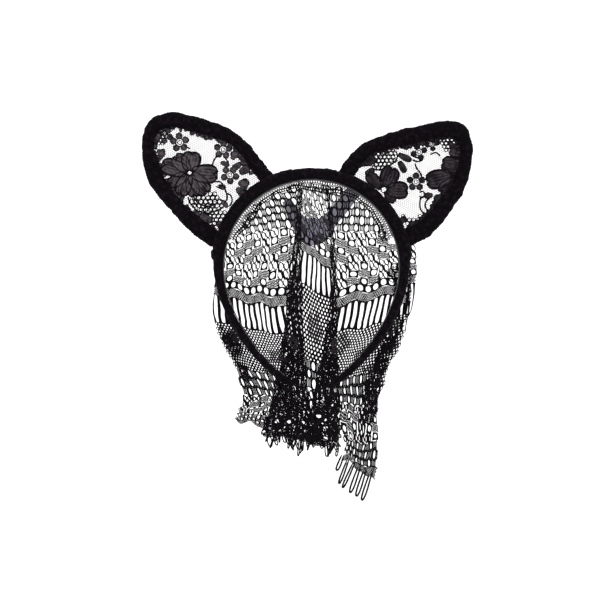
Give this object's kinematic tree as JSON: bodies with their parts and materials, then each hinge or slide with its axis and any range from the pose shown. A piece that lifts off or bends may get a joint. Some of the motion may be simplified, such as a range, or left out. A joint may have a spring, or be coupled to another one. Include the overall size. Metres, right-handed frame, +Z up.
{
  "type": "animal ears headband",
  "caption": "Black padded headband with lace cat ears and a long pleated black lace veil hanging behind its arms.",
  "frame": {"origin": "middle of the crown's inner face, where the headband rests on the top of the head", "axes": "+Z up, from the head out through the top of the crown; +X to the right as seen from the open side; +Y through the hoop toward the hanging veil"},
  "size_m": [0.2348, 0.0191, 0.2779],
  "materials": {
    "cover": "black crushed fabric under fine lace",
    "core": "satin black plastic",
    "padding": "dark grey wadding",
    "lining": "black ribbed ribbon",
    "rim": "black velvet, matt",
    "wire": "bright drawn wire",
    "ear_lace": "dark grey floral lace",
    "wrap": "black lace binding",
    "veil": "black openwork lace",
    "ribbon": "sheer dark violet ribbon",
    "cap": "matt black",
    "thread": "black sewing thread"
  },
  "bodies": {
    "crown": {"crown_cover": "cover", "crown_padding": "padding", "crown_core": "core", "crown_lining": "lining", "left_upper_wrap": "wrap", "left_lower_wrap": "wrap", "right_upper_wrap": "wrap", "right_lower_wrap": "wrap", "veil_header": "veil", "veil_yoke": "veil", "inner_ribbon": "ribbon", "thread_tack_left": "thread", "thread_tack_centre": "thread", "thread_tack_right": "thread"},
    "left_arm": {"left_arm_cover": "cover", "left_arm_padding": "padding", "left_arm_core": "core", "left_arm_lining": "lining", "left_tip_cap": "cap"},
    "right_arm": {"right_arm_cover": "cover", "right_arm_padding": "padding", "right_arm_core": "core", "right_arm_lining": "lining", "right_tip_cap": "cap"},
    "left_ear": {"left_ear_rim": "rim", "left_ear_wire": "wire", "left_ear_lace": "ear_lace"},
    "right_ear": {"right_ear_rim": "rim", "right_ear_wire": "wire", "right_ear_lace": "ear_lace"},
    "veil": {"veil_drop": "veil", "centre_fringe": "veil", "right_fringe": "veil"}
  },
  "joints": [
    {"name": "left_arm_flex", "type": "hinge", "parent": "crown", "child": "left_arm", "pos_m": [-0.06604, 0, -0.05758], "axis": [0, 1, 0], "range_deg": [0, 25], "stiffness_Nm_per_rad": 0.5},
    {"name": "right_arm_flex", "type": "hinge", "parent": "crown", "child": "right_arm", "pos_m": [0.06604, 0, -0.05758], "axis": [0, -1, 0], "range_deg": [0, 25], "stiffness_Nm_per_rad": 0.5},
    {"name": "left_ear_tilt", "type": "hinge", "parent": "crown", "child": "left_ear", "pos_m": [-0.04739, 0, -0.02173], "axis": [0.6494, 0, 0.7604], "range_deg": [-20, 20]},
    {"name": "right_ear_tilt", "type": "hinge", "parent": "crown", "child": "right_ear", "pos_m": [0.04495, 0, -0.02065], "axis": [0.6788, 0, -0.7343], "range_deg": [-20, 20]},
    {"name": "veil_lift", "type": "hinge", "parent": "crown", "child": "veil", "pos_m": [0, 0.0081, -0.052], "axis": [1, 0, 0], "range_deg": [0, 110]}
  ]
}
